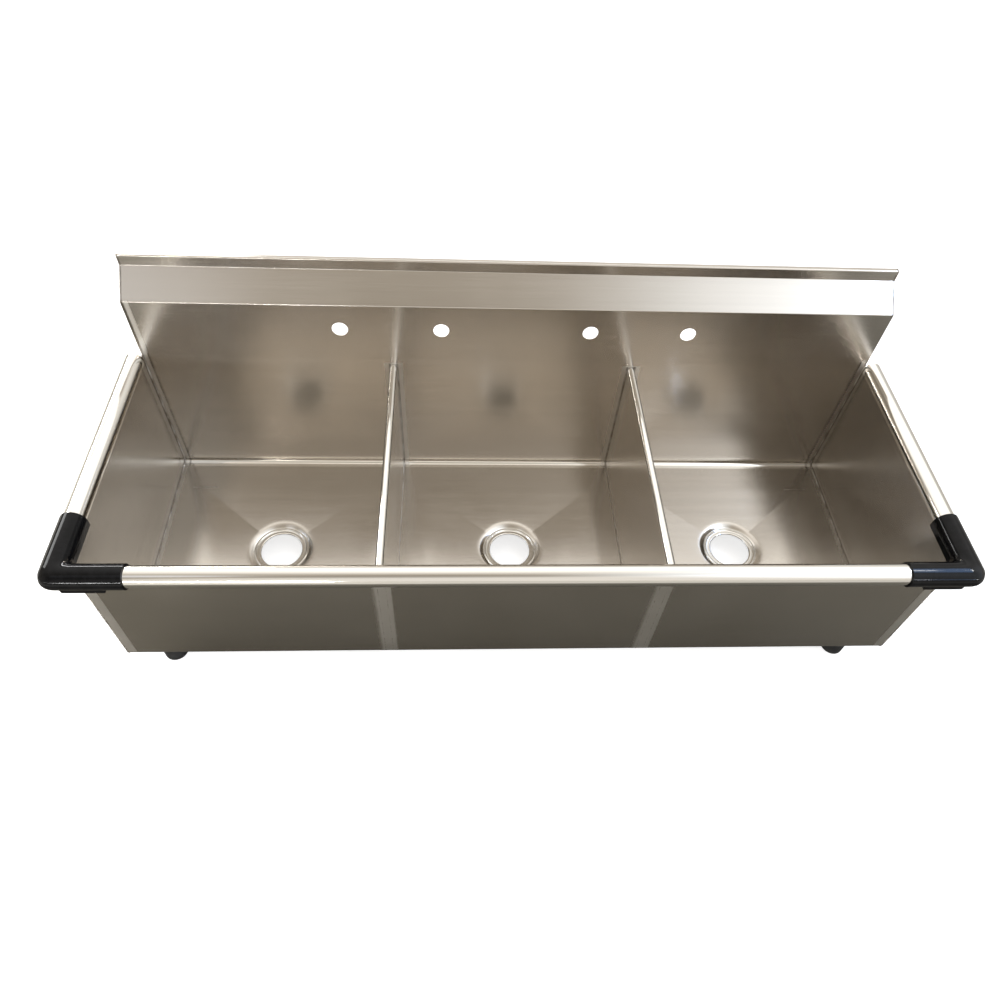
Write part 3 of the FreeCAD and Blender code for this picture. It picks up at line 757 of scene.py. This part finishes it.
guard_plastic = moulded_plastic("guard_plastic")
for side_name, side in SIDES:
    guard = corner_guard(f"moulded_guard_{side_name}", side, guard_plastic)
    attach(guard, "sink")
    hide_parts(f"corner_guard_{side_name}")
    print(guard.name, len(guard.data.vertices), "points")

# %% [markdown]
# ## Weld seams
#
# The sheets are joined by small welds: along the upright corners, round the bowls' ends and at the feet
# of the dividers. A weld is a row of overlapping drops of metal. Geometry Nodes follow each seam line,
# set one drop per step with a slight unevenness and turn the row into a plain mesh. Modelling every
# drop by hand would give the same picture for a hundred times the work.

# %% Seam tree
def seam_tree():
    """Build the node tree that sets drops along the edges of a mesh."""
    group = bpy.data.node_groups.new("weld_drops", "GeometryNodeTree")
    interface = group.interface
    interface.new_socket("Geometry", in_out="INPUT", socket_type="NodeSocketGeometry")
    for name, value in (("Pitch", 2.6 * MM), ("Half width", 1.6 * MM), ("Unevenness", 0.25)):
        interface.new_socket(name, in_out="INPUT", socket_type="NodeSocketFloat").default_value = value
    interface.new_socket("Finish", in_out="INPUT", socket_type="NodeSocketMaterial")
    interface.new_socket("Geometry", in_out="OUTPUT", socket_type="NodeSocketGeometry")
    tree = Tree(group)
    given = tree.add("NodeGroupInput").outputs
    line = tree.add("GeometryNodeMeshToCurve", Mesh=given["Geometry"])
    dots = tree.add("GeometryNodeResampleCurve", Curve=line.outputs[0])
    dots.mode = "LENGTH"
    tree.feed(dots, "Length", given["Pitch"])
    along = tree.add("GeometryNodeInputTangent")
    turn = tree.add("FunctionNodeAlignEulerToVector", {"axis": "X"}, Vector=along.outputs[0])
    drop = tree.add("GeometryNodeMeshUVSphere", Segments=8, Rings=5, Radius=1.0)
    least = tree.math("SUBTRACT", 1.0, given["Unevenness"])
    most = tree.math("ADD", 1.0, given["Unevenness"])
    swell = tree.add("FunctionNodeRandomValue", Seed=11)
    tree.feed(swell, "2", least)
    tree.feed(swell, "3", most)
    width = tree.math("MULTIPLY", given["Half width"], swell.outputs[1])
    size = tree.add("ShaderNodeCombineXYZ", X=given["Pitch"], Y=width, Z=width)
    drops = tree.add("GeometryNodeInstanceOnPoints", Points=dots.outputs[0], Instance=drop.outputs[0],
                     Rotation=turn.outputs[0], Scale=size.outputs[0])
    solid = tree.add("GeometryNodeRealizeInstances", Geometry=drops.outputs[0])
    smooth = tree.add("GeometryNodeSetShadeSmooth", Geometry=solid.outputs[0])
    dressed = tree.add("GeometryNodeSetMaterial", Geometry=smooth.outputs[0], Material=given["Finish"])
    tree.add("NodeGroupOutput", Geometry=dressed.outputs[0])
    return group


def weld_seam(name, lines, finish, pitch, half_width):
    """Run the seam tree along the lines and keep the result as a plain mesh."""
    points, edges = [], []
    for line in lines:
        start = len(points)
        points += [tuple(point) for point in line]
        edges += [(start + k, start + k + 1) for k in range(len(line) - 1)]
    guide_mesh = bpy.data.meshes.new(name + "_guide")
    guide_mesh.from_pydata(points, edges, [])
    guide = bpy.data.objects.new(name + "_guide", guide_mesh)
    scene.collection.objects.link(guide)
    row = guide.modifiers.new("drops", "NODES")
    row.node_group = drops_group
    for title, value in (("Pitch", pitch), ("Half width", half_width), ("Finish", finish)):
        row[sockets[title]] = value
    evaluated = guide.evaluated_get(bpy.context.evaluated_depsgraph_get())
    mesh = bpy.data.meshes.new_from_object(evaluated)
    bpy.data.objects.remove(guide)
    mesh.name = name
    mesh.materials.clear()
    mesh.materials.append(finish)
    mesh.polygons.foreach_set("material_index", [0] * len(mesh.polygons))
    seam = bpy.data.objects.new(name, mesh)
    scene.collection.objects.link(seam)
    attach(seam, "sink")
    print(name, len(mesh.polygons), "faces", [item.name for item in mesh.materials])


drops_group = seam_tree()
sockets = {item.name: item.identifier for item in drops_group.interface.items_tree
           if item.in_out == "INPUT"}

# %% [markdown]
# ## Weld metal
#
# Weld metal is duller than the sheet, with a straw and brown tint from the heat and specks of dark soot.
# Noise picks the tint and the specks, so each stretch of seam looks a little different.

# %% Weld metal and seam lines
COVE = 13 * MM


def weld_metal(name):
    """Dull metal with a straw tint and specks of soot."""
    finish, tree, shader, place = new_finish(name)
    tint = noise(tree, place, 40, 3.0, contrast=0.2)
    specks = noise(tree, place, 900, 3.0, contrast=0.15)
    tone = tree.blend(tint, (0.24, 0.205, 0.165, 1), (0.66, 0.62, 0.56, 1))
    sooty = tree.math("MULTIPLY", specks, 0.4)
    tree.feed(shader, "Base Color", tree.blend(sooty, tone, (0.16, 0.14, 0.12, 1)))
    shader.inputs["Metallic"].default_value = 1.0
    tree.feed(shader, "Roughness", tree.math("ADD", 0.28, tree.math("MULTIPLY", tint, 0.2)))
    tree.feed(shader, "Normal",
              tree.add("ShaderNodeBump", Height=specks, Strength=0.4, Distance=0.0002).outputs[0])
    return finish


def cove_bend(x, middle_y, sign, turns):
    """Points round a cove, from turns in degrees; sign is 1 at the splash and -1 at the apron."""
    angles = [math.radians(turn) for turn in turns]
    return [Vector((x, middle_y + sign * COVE * math.cos(angle), floor_z + COVE - COVE * math.sin(angle)))
            for angle in angles]


def bowl_line(x, height):
    """The inside outline of a bowl at one x: down the splash, round both coves and up the apron."""
    rear = cove_bend(x, splash_y - COVE, 1, range(0, 91, 9))
    front = cove_bend(x, apron_y + COVE, -1, range(90, -1, -9))
    return [Vector((x, splash_y, height))] + rear + front + [Vector((x, apron_y, height))]


steel_weld = weld_metal("steel_weld")
end_lines = [bowl_line(side * end_x, rim_top - 4 * MM) for _, side in SIDES]
weld_seam("end_weld_seams", end_lines, steel_weld, 2.6 * MM, 2.0 * MM)
half_divider = (divider_high.x - divider_low.x) / 2
divider_lines = [bowl_line(side * divider_x + face * half_divider, divider_top - half_divider)
                 for _, side in SIDES for face in (-1, 1)]
weld_seam("divider_weld_seams", divider_lines, steel_weld, 2.4 * MM, 1.3 * MM)

# %% Seams of the splash ends
CREASE_UP = 458.5 * MM
RETURN_RUN, RETURN_RISE = 53 * MM, 45 * MM
crease_z = floor_z + CREASE_UP
shoulder_z = crease_z + RETURN_RISE
edge_y = splash_y + RETURN_RUN
top_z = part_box("back_sheet")[1].z
cap_lines = [[Vector((side * end_x, splash_y, crease_z)), Vector((side * end_x, edge_y, shoulder_z)),
              Vector((side * end_x, edge_y, top_z - MM))] for _, side in SIDES]
weld_seam("splash_weld_seams", cap_lines, steel_weld, 2.4 * MM, 1.0 * MM)

# %% Seams under the sink
CORNERS = ("front_left", "front_right", "rear_left", "rear_right")
ROUND_STEPS = 48
PLATE_ROUND = 12 * MM


def ring_line(middle, radius):
    """A closed circle round an upright axis."""
    turns = [k * math.tau / ROUND_STEPS for k in range(ROUND_STEPS + 1)]
    return [middle + Vector((math.cos(turn), math.sin(turn), 0)) * radius for turn in turns]


socket_lines = []
for corner in CORNERS:
    low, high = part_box(f"leg_socket_{corner}")
    plate_low, plate_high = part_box(f"socket_plate_{corner}")
    middle = Vector(((low.x + high.x) / 2, (plate_low.y + plate_high.y) / 2, high.z))
    socket_lines.append(ring_line(middle, (high.x - low.x) / 2))
    for y in (plate_low.y, plate_high.y):
        socket_lines.append([Vector((plate_low.x + PLATE_ROUND, y, plate_high.z)),
                             Vector((plate_high.x - PLATE_ROUND, y, plate_high.z))])
weld_seam("socket_weld_seams", socket_lines, steel_weld, 2.8 * MM, 1.6 * MM)

# %% [markdown]
# ## Sockets, plates and set screws
#
# The leg sockets are steel castings with a dark satin coat, and the plates over them are plain mill
# steel. Each set screw is small but real: a thread runs down its rod and a hexagon recess takes the
# key. The thread is a height that climbs once per turn, so one grid of points makes the whole screw.

# %% Socket and plate finishes
def cast_coat(name):
    """Dark satin coat on a rough casting."""
    finish, tree, shader, place = new_finish(name)
    grit = noise(tree, place, 700, 3.0, contrast=0.2)
    rub = noise(tree, place, 45, 4.0, contrast=0.15)
    tone = tree.blend(rub, (0.026, 0.026, 0.027, 1), (0.05, 0.05, 0.05, 1))
    gritty = tree.math("MULTIPLY", grit, 0.25)
    tree.feed(shader, "Base Color", tree.blend(gritty, tone, (0.11, 0.11, 0.11, 1)))
    shader.inputs["Metallic"].default_value = 0.35
    tree.feed(shader, "Roughness", tree.math("ADD", 0.34, tree.math("MULTIPLY", rub, 0.2)))
    tree.feed(shader, "Normal",
              tree.add("ShaderNodeBump", Height=grit, Strength=0.5, Distance=0.0002).outputs[0])
    return finish


def mill_steel(name, tone_low, tone_high, roughness):
    """Plain steel with soft patches between two tones."""
    finish, tree, shader, place = new_finish(name)
    patches = noise(tree, place, 60, 4.0, contrast=0.2)
    tree.feed(shader, "Base Color", tree.blend(patches, tone_low, tone_high))
    shader.inputs["Metallic"].default_value = 1.0
    tree.feed(shader, "Roughness", tree.math("ADD", roughness, tree.math("MULTIPLY", patches, 0.15)))
    grit = noise(tree, place, 900, 2.0)
    tree.feed(shader, "Normal",
              tree.add("ShaderNodeBump", Height=grit, Strength=0.3, Distance=0.0001).outputs[0])
    return finish


socket_coat = cast_coat("socket_coat")
plate_metal = mill_steel("plate_metal", (0.34, 0.33, 0.31, 1), (0.5, 0.485, 0.46, 1), 0.34)
zinc_metal = mill_steel("zinc_metal", (0.48, 0.49, 0.5, 1), (0.62, 0.62, 0.61, 1), 0.2)
for corner in CORNERS:
    wear(f"leg_socket_{corner}", socket_coat)
    wear(f"socket_plate_{corner}", plate_metal)

# %% Threaded set screws
THREAD_PITCH = 1.25 * MM
THREAD_DEPTH = 0.55 * MM
ROUND = 24
ROWS_PER_TURN = 6
KEY_RADIUS = 2.3 * MM
KEY_DEPTH = 5 * MM
CHAMFER = 0.6 * MM


def thread_radius(travel, angle, outer, length):
    """Radius of the screw at a distance from its tip and an angle round it."""
    phase = (travel / THREAD_PITCH - angle / math.tau) % 1
    radius = outer - THREAD_DEPTH * (1 - abs(2 * phase - 1))
    end_gap = min(travel, length - travel)
    return min(radius, outer - max(CHAMFER - end_gap, 0))


def set_screw(name, low, high, outwards, finish):
    """Screw along y, its key recess in the end that points outwards (1 back, -1 front)."""
    outer, length = (high.x - low.x) / 2, high.y - low.y
    middle_x, middle_z = (low.x + high.x) / 2, (low.z + high.z) / 2
    tip_y = low.y if outwards > 0 else high.y
    rows = round(length / THREAD_PITCH * ROWS_PER_TURN)
    turns = [k * math.tau / ROUND for k in range(ROUND)]
    rings = []
    for row in range(rows + 1):
        travel = length * row / rows
        rings.append([(thread_radius(travel, turn, outer, length), travel) for turn in turns])
    sixth = math.pi / 3
    flat = KEY_RADIUS * math.cos(sixth / 2)
    hexagon = [flat / math.cos(turn % sixth - sixth / 2) for turn in turns]
    rings.append([(radius, length) for radius in hexagon])
    rings.append([(radius, length - KEY_DEPTH) for radius in hexagon])
    points = [(middle_x + radius * math.cos(turn), tip_y + outwards * travel,
               middle_z + radius * math.sin(turn))
              for ring in rings for turn, (radius, travel) in zip(turns, ring)]
    faces = []
    for row in range(len(rings) - 1):
        for k in range(ROUND):
            a, b = row * ROUND + k, row * ROUND + (k + 1) % ROUND
            faces.append((a, a + ROUND, b + ROUND, b))
    faces.append(tuple(range(ROUND)))
    faces.append(tuple(range((len(rings) - 1) * ROUND, len(rings) * ROUND))[::-1])
    if outwards > 0:
        faces = [face[::-1] for face in faces]
    return finished_mesh(name, points, faces, finish, 40)


for corner in CORNERS:
    low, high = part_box(f"set_screw_{corner}")
    outwards = 1 if corner.startswith("front") else -1
    screw = set_screw(f"threaded_screw_{corner}", low, high, outwards, zinc_metal)
    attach(screw, f"set_screw_{corner}")
    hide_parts(f"set_screw_{corner}")
    print(screw.name, len(screw.data.polygons), "faces")
